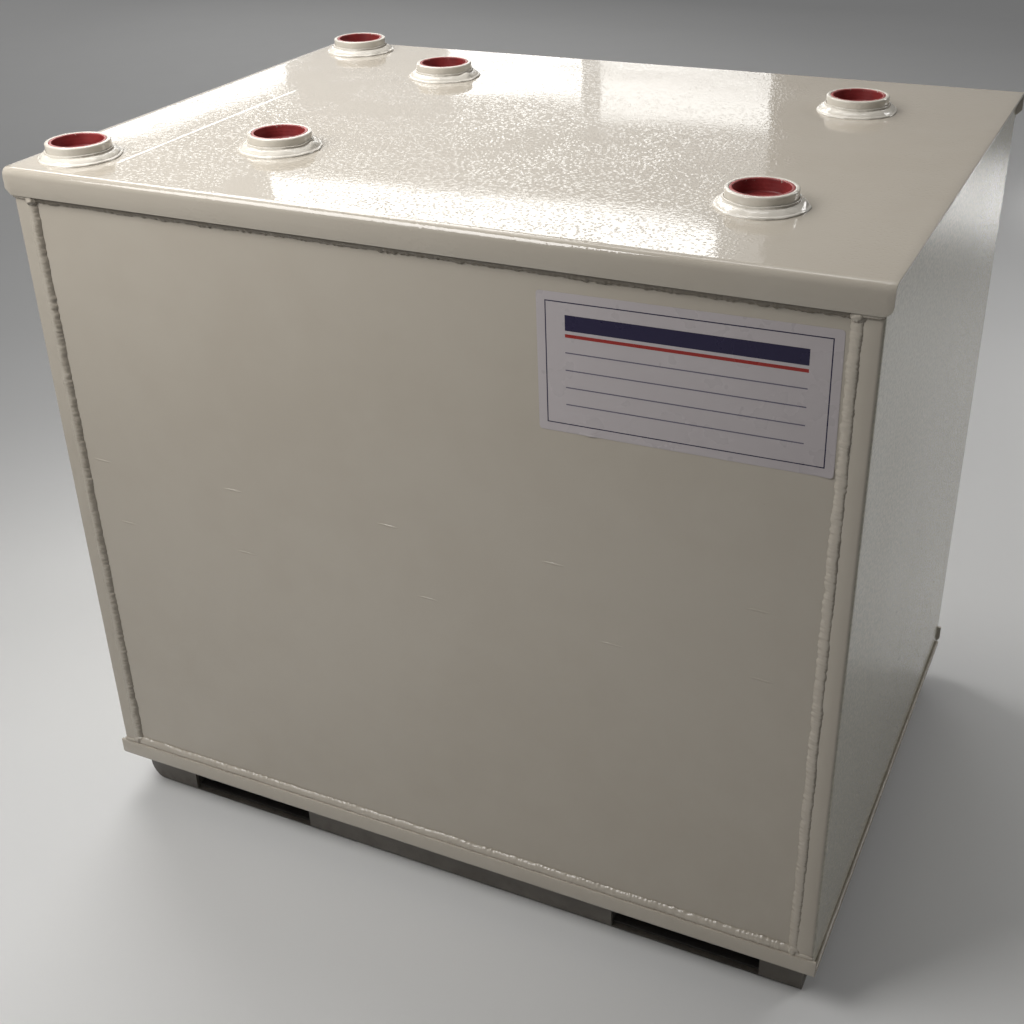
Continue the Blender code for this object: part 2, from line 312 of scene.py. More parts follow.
enamel = {
    "paint": (0.430, 0.390, 0.330, 1),
    "thin": (0.414, 0.373, 0.313, 1),
    "dust": (0.37, 0.34, 0.285, 1),
    # the dark colour of painted shade, in hollow places and on what faces away from the lamps
    "hollow": (0.15, 0.125, 0.09, 1),
    # the pale colour of painted edge highlights
    "edge": (0.74, 0.70, 0.60, 1),
    "nib": (0.16, 0.14, 0.11, 1),
    "ior": 1.52,
    "nibHeight": 2.0,
}
groups = {
    "orangePeel": makeOrangePeel(),
    "paintFilm": makePaintFilm(),
    "flankTint": makePaintedFlankReflection(),
    "droplets": amountGroup(droplets, "Height"),
    "settledDust": amountGroup(settledDust),
    "creviceShade": amountGroup(creviceShade),
    "paintedShadeAway": amountGroup(paintedShadeAway, "Mask", "Bias"),
    "paintedEdgeHighlight": amountGroup(paintedEdgeHighlight),
    "darkerNearFloor": amountGroup(darkerNearFloor, "Mask", "Top"),
}
print("shader groups made:", len(groups))


def startMaterial(name):
    material = bpy.data.materials.new(name)
    material.use_nodes = True
    tree = material.node_tree
    place = put(tree, "TexCoord").outputs["Object"]
    return material, tree, tree.nodes["Principled BSDF"], place


def coat(tree, shader, colour, rough, height, depth):  # depth is how tall a height of 1 stands
    bump = put(tree, "Bump", {"Strength": 1.0, "Distance": depth, "Height": height})
    feed(tree, shader, {"Base Color": colour, "Roughness": rough, "Normal": bump.outputs["Normal"]})


def enamelMaterial(name, look):
    material, tree, shader, place = startMaterial("almond_enamel_" + name)
    film = groupIn(
        tree, "paintFilm", Position=place, Paint=look.get("paint", enamel["paint"]),
        Thin=look.get("thin", enamel["thin"]), Gloss=look["gloss"],
    )
    colour, rough = film["Colour"], film["Roughness"]
    # painted shade and reflection on the wide sides
    if "flank" in look:
        colour = groupIn(
            tree, "flankTint", Position=place, Coat=colour, Tint=look["flank"], Mottle=look["mottle"]
        )["Colour"]
    if "dust" in look:
        dust = groupIn(tree, "settledDust", Position=place, Amount=look["dust"])["Mask"]
        colour = blendColour(tree, dust, colour, enamel["dust"])
        rough = calc(tree, "MULTIPLY_ADD", dust, 0.3, rough)
    # painted shade in hollow places
    if "hollowShade" in look:
        hollowShade = groupIn(tree, "creviceShade", Position=place, Amount=look["hollowShade"])["Mask"]
        colour = blendColour(tree, hollowShade, colour, enamel["hollow"])
    # painted shade on what faces away from the lamps
    if "away" in look:
        away = groupIn(
            tree, "paintedShadeAway", Position=place, Amount=look["away"], Bias=look.get("bias", 0.0)
        )["Mask"]
        colour = blendColour(tree, away, colour, enamel["hollow"])
    # painted highlight on sharp edges
    if "edges" in look:
        edges = groupIn(tree, "paintedEdgeHighlight", Amount=look["edges"])["Mask"]
        colour = blendColour(tree, edges, colour, enamel["edge"])
    peel = groupIn(tree, "orangePeel", Position=place, Grain=look["grain"])["Height"]
    if "droplets" in look:
        drops = groupIn(tree, "droplets", Position=place, Amount=look["droplets"])["Height"]
        peel = calc(tree, "ADD", peel, drops)
    height = calc(tree, "MULTIPLY_ADD", film["Nibs"], enamel["nibHeight"], peel)
    coat(tree, shader, colour, rough, height, look["peel"])
    feed(tree, shader, {"IOR": enamel["ior"], "Specular IOR Level": look.get("mirror", 0.5)})
    return material


def baseMaterial(name, look):
    material, tree, shader, place = startMaterial(name)
    film = groupIn(
        tree, "paintFilm", Position=place, Paint=look["paint"], Thin=look["thin"], Gloss=look["gloss"]
    )
    # darker towards the floor, in ragged patches
    lowDarkening = groupIn(
        tree, "darkerNearFloor", Position=place, Top=look["top"], Amount=look["lowDarkening"]
    )["Mask"]
    colour = blendColour(tree, lowDarkening, film["Colour"], look["lowColour"])
    rough = calc(tree, "MULTIPLY_ADD", lowDarkening, 0.35, film["Roughness"])
    peel = groupIn(tree, "orangePeel", Position=place, Grain=look["grain"])["Height"]
    coat(tree, shader, colour, rough, peel, look["peel"])
    return material


finishes = {
    "top": enamelMaterial("top", {
        "gloss": 0.015, "dust": 0.05, "grain": 0.0045, "peel": 0.000028, "droplets": 3.3,
        "edges": 0.35}),
    "panel": enamelMaterial("panel", {
        "gloss": 0.10, "grain": 0.0035, "peel": 0.000016}),
    # the flank and mottle colours are painted shade and reflection on the sides
    "side": enamelMaterial("side", {
        "gloss": 0.12, "grain": 0.004, "peel": 0.0001, "mirror": 0.4, "edges": 0.8,
        "flank": (0.475, 0.445, 0.345, 1), "mottle": (0.345, 0.330, 0.270, 1)}),
    "weld": enamelMaterial("weld", {
        "gloss": 0.24, "dust": 0.04, "hollowShade": 0.55, "away": 0.62, "grain": 0.0022,
        "peel": 0.00002}),
    # the run under the lip gets the most painted shade: its bias darkens even its outward face
    "lipWeld": enamelMaterial("lip_weld", {
        "gloss": 0.26, "hollowShade": 0.5, "away": 0.88, "bias": 0.42, "grain": 0.0022,
        "peel": 0.00002}),
    # painted light: the collar and ring weld paints are lighter than the enamel elsewhere, for the
    # stronger light that falls on them
    "collar": enamelMaterial("collar", {
        "gloss": 0.09, "dust": 0.06, "hollowShade": 0.15, "away": 0.2, "grain": 0.0025,
        "peel": 0.000012, "paint": (0.64, 0.60, 0.53, 1), "thin": (0.59, 0.55, 0.48, 1)}),
    "ring": enamelMaterial("ring_weld", {
        "gloss": 0.08, "dust": 0.05, "hollowShade": 0.12, "away": 0.6, "grain": 0.003,
        "peel": 0.000016, "paint": (0.70, 0.66, 0.59, 1), "thin": (0.64, 0.60, 0.53, 1)}),
    # the base paint is set darker than its thin dull coat alone: partly painted shade, for the shade
    # under the tank's overhang
    "base": baseMaterial("base_enamel_dull", {
        "paint": (0.145, 0.129, 0.110, 1), "thin": (0.105, 0.092, 0.076, 1), "gloss": 0.38,
        "lowColour": (0.050, 0.043, 0.034, 1), "top": 0.055, "lowDarkening": 0.75, "grain": 0.004,
        "peel": 0.00004}),
    # painted shade: the fork pocket linings are near black, for the shade inside the pockets
    "pocket": baseMaterial("pocket_painted_shade", {
        "paint": (0.055, 0.050, 0.044, 1), "thin": (0.035, 0.031, 0.027, 1), "gloss": 0.45,
        "lowColour": (0.02, 0.018, 0.015, 1), "top": 0.05, "lowDarkening": 0.6, "grain": 0.004,
        "peel": 0.00004}),
}
print("enamels made:", len(finishes))


# Folded sheets

def foldSheet(name, fold, web, length):  # own X across the web, own Y along the bends, flanges at -Z
    sheet = begin(
        name, bpy.ops.mesh.primitive_grid_add,
        x_subdivisions=fold["across"], y_subdivisions=fold["along"], size=1,
    )
    sheet.scale = (web, length, 1)
    settle(sheet)

    def onFold(points):
        return all(abs(abs(p.x) - web / 2) < hair and abs(p.z) < hair for p in points)

    pick(sheet, "EDGE", onFold)
    bpy.ops.mesh.extrude_region_move(TRANSFORM_OT_translate={"value": (0, 0, -fold["flange"])})
    back()
    pick(sheet, "EDGE", onFold)
    bpy.ops.mesh.bevel(offset=fold["bend"], segments=fold["steps"], affect="EDGES")
    back()
    return sheet


def trimCorner(sheet, corner, a, b, radius, cuts, deep=0.02):
    # takes a corner off the open sheet, round in several straight cuts or plain in one
    corner, a, b = Vector(corner), Vector(a), Vector(b)
    centre = corner - radius * (a + b)

    def inCorner(points):
        if any(abs(p.x - corner.x) > deep for p in points):
            return False
        return max((p - centre).dot(a) for p in points) > 0 < max((p - centre).dot(b) for p in points)

    for cut in range(cuts):
        angle = math.radians(90 * (cut + 0.5) / cuts)
        slope = math.cos(angle) * a + math.sin(angle) * b
        pick(sheet, "FACE", inCorner)
        bpy.ops.mesh.bisect(
            plane_co=centre + radius * slope, plane_no=slope, clear_outer=True, threshold=cutGap
        )
        back()
    pick(sheet, "VERT", inCorner)
    bpy.ops.mesh.remove_doubles(threshold=mergeGap)
    back()


def score(sheet, point, normal):  # a row of points across the flat web
    pick(sheet, "FACE", lambda points: max(abs(p.z) for p in points) < hair)
    bpy.ops.mesh.bisect(plane_co=point, plane_no=normal, threshold=cutGap)
    back()


def warp(sheet, amount):  # moves each point along its normal by what the rule says there
    normals = [vert.normal.copy() for vert in sheet.data.vertices]
    for vert, normal in zip(sheet.data.vertices, normals):
        vert.co += normal * amount(vert.co)


bungPlaces = {}
for node in sorted(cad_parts):
    if node.startswith("bung_") and not node.startswith("bung_weld_"):
        low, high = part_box(node)
        bungPlaces[node.removeprefix("bung_")] = (low + high) / 2

topFold = {
    "flange": 0.030, "bend": 0.009, "steps": 8, "across": 72, "along": 118,
    "round": 0.010, "clip": 0.012, "cuts": 6, "wave": 0.0003, "waveSize": 0.21, "fade": 0.05,
    "dip": 0.00025, "dipReach": 0.06, "drill": 0.03,
    "brakeLine": 0.0212, "brakeSoft": 0.003, "brakeSlope": 0.0025,
    "crease": 0.376, "creaseHalf": 0.0014, "creaseRise": 0.00016, "creaseFront": -0.32,
    "creaseBack": 0.16, "creaseStart": 0.03, "creaseEnd": 0.2,
}
bottomFold = {"flange": 0.0255, "bend": 0.007, "steps": 7, "across": 60, "along": 80,
              "round": 0.008, "cuts": 6, "wave": 0.0003, "waveSize": 0.19}
sideFold = {"flange": 0.021, "bend": 0.004, "steps": 6, "across": 84, "along": 96,
            "notch": 0.0055, "belly": 0.0012, "bellySize": 0.26, "fadeAcross": 0.10,
            "fadeUp": 0.12, "pull": 0.00012, "pullSize": 0.07}


def makeTopSheet():
    low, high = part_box("top_sheet")
    width, depth = high.x - low.x, high.y - low.y
    sheet = foldSheet("top_sheet_painted", topFold, depth, width)
    for x in (-1, 1):  # own Y runs to the world's -X once the sheet stands
        for y in (-1, 1):
            rounded = x * y > 0
            corner = (x * depth / 2, y * width / 2, -topFold["flange"])
            size, cuts = (topFold["round"], topFold["cuts"]) if rounded else (topFold["clip"], 1)
            trimCorner(sheet, corner, (0, y, 0), (0, 0, -1), size, cuts)
    line = depth / 2 - topFold["brakeLine"]  # where the press brake's die left its mark
    for x in (-line, -line + topFold["brakeSoft"], line - topFold["brakeSoft"], line):
        score(sheet, (x, 0, 0), (1, 0, 0))
    for step in (-1, 0, 1):  # a faint crease near the left edge
        score(sheet, (0, topFold["crease"] + step * topFold["creaseHalf"], 0), (0, 1, 0))
    stand(sheet, (0, 1, 0), (0, 0, 1), (0, 0, high.z))

    def sag(point):
        inside = ease((depth / 2 - abs(point.y)) / topFold["fade"])
        amount = topFold["wave"] * (0.3 + 0.7 * inside) * lump(point, topFold["waveSize"], 3)
        amount -= topFold["brakeSlope"] * max(0, abs(point.y) - line)
        if abs(point.x + topFold["crease"]) < 0.2 * topFold["creaseHalf"]:
            rise = ease((topFold["creaseBack"] - point.y) / topFold["creaseEnd"])
            rise *= ease((point.y - topFold["creaseFront"]) / topFold["creaseStart"])
            amount += topFold["creaseRise"] * rise
        for centre in bungPlaces.values():
            away = (point.xy - centre.xy).length / topFold["dipReach"]
            amount -= topFold["dip"] * math.exp(-away * away) * inside
        return amount

    warp(sheet, sag)
    thicken(sheet, body["sheet"], body["edge"])
    for place, centre in bungPlaces.items():
        bungLow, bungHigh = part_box("bung_" + place)
        hole = begin(
            "hole", bpy.ops.mesh.primitive_cylinder_add,
            vertices=64, radius=(bungHigh.x - bungLow.x) / 2, depth=topFold["drill"],
            location=(centre.x, centre.y, high.z),
        )
        cutWith(sheet, hole)
    return dress(sheet, finishes["top"], "enamel", "top_sheet")


def makeBottomSheet():
    low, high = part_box("bottom_sheet")
    width, depth = high.x - low.x, high.y - low.y
    sheet = foldSheet("bottom_sheet_painted", bottomFold, depth, width)
    for x in (-1, 1):  # own Y runs to the world's -X here too
        trimCorner(sheet, (x * depth / 2, x * width / 2, 0), (0, x, 0), (0, 0, 1),
                   bottomFold["round"], bottomFold["cuts"])
    stand(sheet, (0, -1, 0), (0, 0, -1), (0, 0, low.z))
    warp(sheet, lambda point: bottomFold["wave"] * lump(point, bottomFold["waveSize"], 8))
    thicken(sheet, body["sheet"], body["edge"])
    return dress(sheet, finishes["panel"], "enamel", "bottom_sheet")


def makeSideSheet(side, sign):
    low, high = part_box(f"{side}_side_sheet")
    tall, depth = high.z - low.z, high.y - low.y
    face = high.x if sign > 0 else low.x
    sheet = foldSheet(f"{side}_side_sheet_painted", sideFold, depth, tall)
    stand(sheet, (0, sign, 0), (sign, 0, 0), (face, 0, (low.z + high.z) / 2))

    def belly(point):
        inside = ease((depth / 2 - abs(point.y)) / sideFold["fadeAcross"])
        inside *= ease((point.z - low.z) / sideFold["fadeUp"])
        inside *= ease((high.z - point.z) / sideFold["fadeUp"])
        swell = inside * (0.35 + 0.65 * lump(point, sideFold["bellySize"], 12 + sign))
        pulled = (1 - inside) * (1 + lump(point, sideFold["pullSize"], 15))
        return -sideFold["belly"] * swell - sideFold["pull"] * pulled

    warp(sheet, belly)
    thicken(sheet, body["sheet"], body["edge"])
    notch = sideFold["notch"]
    for y in (low.y, high.y):
        for z in (low.z, high.z):
            block = begin(
                "notch", bpy.ops.mesh.primitive_cube_add,
                size=2, scale=(4 * notch, notch, notch), location=(face, y, z),
            )
            cutWith(sheet, block)
    return dress(sheet, finishes["side"], "enamel", f"{side}_side_sheet")


makeTopSheet()
print("top sheet folded")
makeBottomSheet()
for sideName, sideSign in sides.items():
    makeSideSheet(sideName, sideSign)
print("bottom and side sheets folded")


# End panels

panel = {"across": 118, "up": 100, "swell": 0.0007, "swellSize": 0.33, "pucker": 0.00018,
         "puckerSize": 0.075, "puckerStart": 0.03, "border": 0.07}


def panelSwell(end, x, z):  # how far the panel's face stands out of its plane
    low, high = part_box(f"{end}_panel")
    point = Vector((x, 2.0 * ends[end], z))
    toEdge = min(x - low.x, high.x - x, z - low.z, high.z - z)
    inside = ease(toEdge / (2 * panel["border"]))
    swell = panel["swell"] * inside * lump(point, panel["swellSize"], 21)
    nearWeld = ease(toEdge / panel["puckerStart"]) * (1 - ease(toEdge / (1.6 * panel["border"])))
    return swell + panel["pucker"] * nearWeld * lump(point, panel["puckerSize"], 25)


def makePanel(end, sign):
    low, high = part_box(f"{end}_panel")
    sheet = begin(
        f"{end}_panel_painted", bpy.ops.mesh.primitive_grid_add,
        x_subdivisions=panel["across"], y_subdivisions=panel["up"], size=1,
        rotation=(math.pi / 2, 0, math.pi if sign > 0 else 0),
    )
    face = high.y if sign > 0 else low.y
    sheet.scale = (high.x - low.x, 1, high.z - low.z)
    sheet.location = (0, face, (low.z + high.z) / 2)
    settle(sheet)
    for vert in sheet.data.vertices:
        vert.co.y += sign * panelSwell(end, vert.co.x, vert.co.z)
    thicken(sheet, high.y - low.y, body["edge"])
    return dress(sheet, finishes["panel"], "enamel", f"{end}_panel")


for endName, endSign in ends.items():
    makePanel(endName, endSign)
print("end panels made")


# Weld runs

bead = {"sides": 16, "step": 0.001, "ripple": 0.0033, "rippleHeight": 0.00042, "drift": 0.0006,
        "taper": 0.007, "ragged": 0.22, "slant": 0.0014, "bow": 0.0018, "wander": 0.0022,
        "skin": 0.00022, "skinSize": 0.003, "raggedSize": 0.0036}


def beadSize(centre, seed):  # width and height here, against the run's own
    wide = 1 + 0.12 * lump(centre, 0.022, seed) + 0.08 * lump(centre, 0.006, seed + 5)
    tall = 1 + 0.16 * lump(centre, 0.026, seed + 9) + 0.10 * lump(centre, 0.007, seed + 14)
    return wide, tall


def weldRun(name, start, end, outward, wide, tall, seed, lean=(0, 0, 0)):
    # lean carries the crest to one side, towards the sheet that stands higher
    start, end, outward, lean = Vector(start), Vector(end), Vector(outward), Vector(lean)
    length = (end - start).length
    along = (end - start).normalized()
    sideways = along.cross(outward)
    run = begin(
        name, bpy.ops.mesh.primitive_cylinder_add, vertices=bead["sides"], radius=1, depth=length
    )
    parts = 1
    while parts < length / bead["step"]:
        cuts = min(100, math.ceil(length / bead["step"] / parts))
        pick(run, "EDGE", lambda points: abs(points[0].z - points[1].z) > hair)
        bpy.ops.mesh.subdivide(number_cuts=cuts)
        back()
        parts *= cuts + 1
    for vert in run.data.vertices:
        turn = math.atan2(vert.co.y, vert.co.x)
        at = vert.co.z + length / 2
        centre = start + along * at
        w, t = beadSize(centre, seed)
        tip = min(1, max(0, min(at, length - at) / bead["taper"]))
        close = 0.2 + 0.8 * math.sqrt(tip * (2 - tip))
        drift = bead["drift"] * lump(centre, 0.05, seed + 20)
        phase = at - bead["bow"] * math.sin(turn) ** 2 + bead["slant"] * math.cos(turn)
        phase += bead["wander"] * lump(centre, 0.012, seed + 30)
        share = (phase / bead["ripple"]) % 1  # each ripple swells slowly and ends in a step
        crest = share * share * (1 - share) * 6.75  # 1 at its highest
        crest = bead["rippleHeight"] * crest * (0.7 + 0.8 * lump(centre, 0.02, seed + 40))
        onSkin = centre + 0.004 * (sideways * math.cos(turn))
        skin = bead["skin"] * lump(onSkin, bead["skinSize"], seed + 50)
        edge = 60 if math.cos(turn) > 0 else 70  # the two edges wander on their own
        ragged = 1 + bead["ragged"] * lump(centre, bead["raggedSize"], seed + edge)
        x = wide * w * close * ragged * math.cos(turn) + drift
        y = (tall * t * close + crest + skin) * math.sin(turn)
        vert.co = centre + sideways * x + outward * y + lean * max(0, math.sin(turn))
    pick(run, "FACE", anywhere)
    bpy.ops.mesh.normals_make_consistent(inside=False)
    back()
    return run


def weldBlob(name, centre, wide, tall, seed):  # where two runs meet in a corner
    centre = Vector(centre)
    blob = begin(
        name, bpy.ops.mesh.primitive_uv_sphere_add,
        segments=40, ring_count=24, radius=1, rotation=(math.pi / 2, 0, 0),
    )
    for vert in blob.data.vertices:
        way = vert.co.normalized()
        size = 1 + 0.20 * lump(way, 0.8, seed) + 0.10 * lump(way, 0.33, seed + 4)
        vert.co = centre + Vector((wide[0] * way.x, tall * way.y, wide[1] * way.z)) * size
    return blob


def joined(pieces, name):
    bpy.ops.object.select_all(action="DESELECT")
    for piece in pieces:
        piece.select_set(True)
    bpy.context.view_layer.objects.active = pieces[0]
    bpy.ops.object.join()
    pieces[0].name = pieces[0].data.name = name
    return pieces[0]


endWeld = {
    "side": {"in": 0.003, "out": 0.0004, "wide": 0.0058, "tall": 0.004, "lean": 0.0026},
    "top": {"in": 0.0, "out": 0.0004, "wide": 0.0072, "tall": 0.0036, "lean": 0.0012},
    "bottom": {"in": 0.0034, "out": 0.0012, "wide": 0.0056, "tall": 0.004, "lean": 0.0012},
    "corner": {"in": 0.0014, "wide": 0.0028, "tall": 0.0022, "inset": 0.002},
    "blob": {"wide": (0.0075, 0.0068), "tall": 0.0046, "stand": 0.002, "along": 0.004},
}


def makeEndWelds(end, sign):
    panelLow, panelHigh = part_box(f"{end}_panel")
    face = panelHigh.y if sign > 0 else panelLow.y
    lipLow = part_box("top_sheet")[0].z
    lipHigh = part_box("bottom_sheet")[1].z
    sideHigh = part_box("right_side_sheet")[1]
    outside, flangeFace = sideHigh.x, sideHigh.y * sign
    flange = outside - sideFold["flange"]
    out = (0, sign, 0)
    seed = 60 if sign > 0 else 10
    corner, blob = endWeld["corner"], endWeld["blob"]
    for side, x in sides.items():
        look = endWeld["side"]
        at = x * (flange - look["in"])
        y = face + sign * look["out"]
        run = weldRun(f"{end}_bead_{side}", (at, y, lipHigh), (at, y, lipLow), out,
                      look["wide"], look["tall"], seed + x, (x * look["lean"], 0, 0))
        dress(run, finishes["weld"], "enamel", f"{end}_weld_{side}")
    for level, z, up in (("top", lipLow, -1), ("bottom", lipHigh, 1)):
        look = endWeld[level]
        y = face + sign * look["out"]
        at = z + up * look["in"]
        run = weldRun(f"{end}_bead_{level}", (-flange, y, at), (flange, y, at), out,
                      look["wide"], look["tall"], seed + 4 * up, (0, 0, -up * look["lean"]))
        finish = finishes["lipWeld" if level == "top" else "weld"]
        dress(run, finish, "enamel", f"{end}_weld_{level}")
        pieces = []
        for side, x in sides.items():
            zCorner = z + up * corner["in"]
            xCorner = x * (flange - corner["inset"])
            pieces.append(weldRun(
                f"{end}_{level}_{side}_tail", (xCorner, flangeFace, zCorner),
                (x * outside, flangeFace, zCorner), out, corner["wide"], corner["tall"], seed + 7 * x))
            pieces.append(weldBlob(
                f"{end}_{level}_{side}_blob",
                (xCorner, face + sign * blob["stand"], z + up * blob["along"]),
                blob["wide"], blob["tall"], seed + 3 * x + up))
        dress(joined(pieces, f"{end}_{level}_corners"), finishes["weld"], "enamel")


seam = {"top": {"wide": 0.0036, "tall": 0.0032}, "bottom": {"wide": 0.0024, "tall": 0.0024}}
seamStand = 0.0012  # from the corner that the run fills to its middle


def makeSeamWelds(side, sign):
    for level in seam:
        low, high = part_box(f"{side}_seam_weld_{level}")
        face = low.x if sign > 0 else high.x
        lean = -1 if level == "top" else 1
        x = face + sign * seamStand
        z = (high.z if level == "top" else low.z) + lean * seamStand
        run = weldRun(
            f"{side}_seam_bead_{level}", (x, low.y, z), (x, high.y, z),
            Vector((sign, 0, lean)).normalized(), seam[level]["wide"], seam[level]["tall"],
            90 + 5 * sign + lean)
        dress(run, finishes["weld"], "enamel", f"{side}_seam_weld_{level}")


for endName, endSign in ends.items():
    makeEndWelds(endName, endSign)
for sideName, sideSign in sides.items():
    makeSeamWelds(sideName, sideSign)
print("weld runs laid")


# Couplings, their ring welds and the cup plugs

def turnRings(name, rings, steps):  # circles pulled on from ring to ring round the own Z
    radius, height = rings[0]
    piece = begin(
        name, bpy.ops.mesh.primitive_circle_add, vertices=steps, radius=radius, location=(0, 0, height)
    )
    pick(piece, "VERT", anywhere)
    for nextRadius, nextHeight in rings[1:]:
        bpy.ops.mesh.extrude_region_move(
            TRANSFORM_OT_translate={"value": (0, 0, nextHeight - height)}
        )
        ratio = nextRadius / radius
        bpy.ops.transform.resize(value=(ratio, ratio, 1), center_override=(0, 0, nextHeight))
        radius, height = nextRadius, nextHeight
    bpy.ops.mesh.select_all(action="SELECT")
    bpy.ops.mesh.remove_doubles(threshold=hair)
    bpy.ops.mesh.normals_make_consistent(inside=False)
    back()
    return piece


def arcRings(centreRadius, centreHeight, radius, first, last, steps):
    rings = []
    for step in range(steps + 1):
        angle = math.radians(first + (last - first) * step / steps)
        rings.append((centreRadius + radius * math.cos(angle), centreHeight + radius * math.sin(angle)))
    return rings


bung = {"steps": 72, "radius": 0.0365, "bore": 0.0320, "stand": 0.018, "below": 0.0154,
        "waist": 0.0004, "outerRound": 0.0018, "innerRound": 0.0008}
ringWeld = {"around": 180, "rise": 0.0086, "reach": 0.0086, "toe": 0.0022, "slopeSteps": 14,
            "fullness": 2.2, "hidden": 0.002, "ledge": 0.0016, "drop": 0.0016, "ripples": 48,
            "rippleHeight": 0.00018, "wide": 0.13, "tall": 0.13, "ragged": 0.09, "skin": 0.0006,
            "blobReach": 0.17, "blobWide": 0.16, "blobHeight": 0.0022}
plug = {"steps": 72, "radius": 0.0318, "wall": 0.0031, "rim": 0.0178, "tall": 0.0163,
        "floor": 0.0025, "fillet": 0.0018, "rounding": 0.0007, "ridges": 3, "ridge": 0.00007,
        "draft": 0.0006, "gate": ((0.004, 0.0), (0.0036, 0.0004), (0.0015, 0.0006), (hair, 0.0006)),
        "red": ((0.17, 0.016, 0.017, 1), (0.23, 0.029, 0.028, 1)), "paintedRimHighlight": (0.40, 0.10, 0.09, 1),
        "bump": 0.00003}


def makeBung():
    r, top, bore = bung["radius"], bung["stand"], bung["bore"]
    outer, inner = bung["outerRound"], bung["innerRound"]
    rings = [(r, -bung["below"]), (r, 0.0)]
    for step in range(1, 9):  # the collar draws in a little between the weld and the rim
        share = step / 9
        height = share * (top - 2 * outer)
        rings.append((r - bung["waist"] * math.sin(math.pi * share), height))
    rings += arcRings(r - outer, top - outer, outer, 0, 90, 5)
    rings += arcRings(bore + inner, top - inner, inner, 90, 180, 4)
    rings += [(bore, 0.0), (bore, -bung["below"]), rings[0]]
    return turnRings("bung_master", rings, bung["steps"])


def makePlug():
    r, rim, lip, fillet = plug["radius"], plug["rim"], plug["rounding"], plug["fillet"]
    low, inner = rim - plug["tall"], r - plug["wall"]
    floor = low + plug["floor"]
    rings = [(hair, low), (0.6 * r, low), (r - lip, low), (r, low + lip)]
    rings += arcRings(r - lip, rim - lip, lip, 0, 90, 3)
    rings += arcRings(inner + lip, rim - lip, lip, 90, 180, 3)
    depth = rim - lip - (floor + fillet)
    for step in range(1, 24):  # shallow ridges left by the mould round the inner wall
        share = step / 24
        wave = 0.5 - 0.5 * math.cos(2 * math.pi * plug["ridges"] * share)
        wall = inner - plug["draft"] * share - plug["ridge"] * wave
        rings.append((wall, rim - lip - depth * share))
    foot = inner - plug["draft"]
    rings += arcRings(foot - fillet, floor + fillet, fillet, 0, -90, 6)
    rings.append((0.55 * foot, floor))
    rings += [(radius, floor + height) for radius, height in plug["gate"]]  # the mould's own mark
    piece = turnRings("plug_master", rings, plug["steps"])
    pick(piece, "VERT", lambda points: points[0].xy.length < 10 * hair)
    bpy.ops.mesh.remove_doubles(threshold=mergeGap)
    back()
    return piece


def makeRingWeld():  # a fillet round the collar, which ends in a thin toe on the sheet
    r, look = bung["radius"], ringWeld
    hidden, rise, ledge, toe, steps = (
        look[key] for key in ("hidden", "rise", "ledge", "toe", "slopeSteps"))
    rings = [(r - hidden, -hidden), (r - hidden, rise - 0.001), (r, rise - 0.0004)]
    rings += arcRings(r + ledge / 2, rise, ledge / 2, 150, -20, 6)
    for step in range(steps + 1):
        share = 0.24 + 0.76 * step / steps
        height = toe + (rise - look["drop"] - toe) * (1 - share ** look["fullness"])
        rings.append((r + look["reach"] * share, height))
    rings += arcRings(r + look["reach"], 0, toe, 75, -30, 6)
    rings.append(rings[0])
    return turnRings("ring_weld_master", rings, look["around"])


def ruffle(ring, seed, blobAt):  # swells, ripples and the lump where the run starts and stops
    look = ringWeld
    for vert in ring.data.vertices:
        way = math.atan2(vert.co.y, vert.co.x)
        radial = Vector((math.cos(way), math.sin(way), 0))
        centre = radial * bung["radius"]
        across, z = vert.co.dot(radial) - bung["radius"], vert.co.z
        wide = 1 + look["wide"] * lump(centre, 0.02, seed)
        tall = 1 + look["tall"] * lump(centre, 0.022, seed + 9)
        gap = (way - blobAt + math.pi) % (2 * math.pi) - math.pi
        blob = math.exp(-(gap / look["blobReach"]) ** 2)
        share = min(1, max(0, across / look["reach"]))
        crest = 0.5 + 0.5 * math.cos(look["ripples"] * way + 4 * share)
        skin = look["skin"] * lump(vert.co, 0.011, seed + 6)
        if across > 0:
            across *= wide + look["ragged"] * lump(centre, 0.012, seed + 3) * share
            across *= 1 + look["blobWide"] * blob
            across += skin
        if z > 0:
            z *= 0.3 + 0.7 * tall
            z += skin + look["rippleHeight"] * crest * math.sin(math.pi * share)
            z += look["blobHeight"] * blob * math.sin(math.pi * min(1, share + 0.1))
        vert.co = centre + radial * across + Vector((0, 0, z))


bungMaster, plugMaster, ringMaster = makeBung(), makePlug(), makeRingWeld()
blobAngles = {"corner_front": 2.6, "corner_back": 0.4, "left_front": 0.1, "left_back": -0.3,
              "right_front": 0.15, "right_back": -2.2}


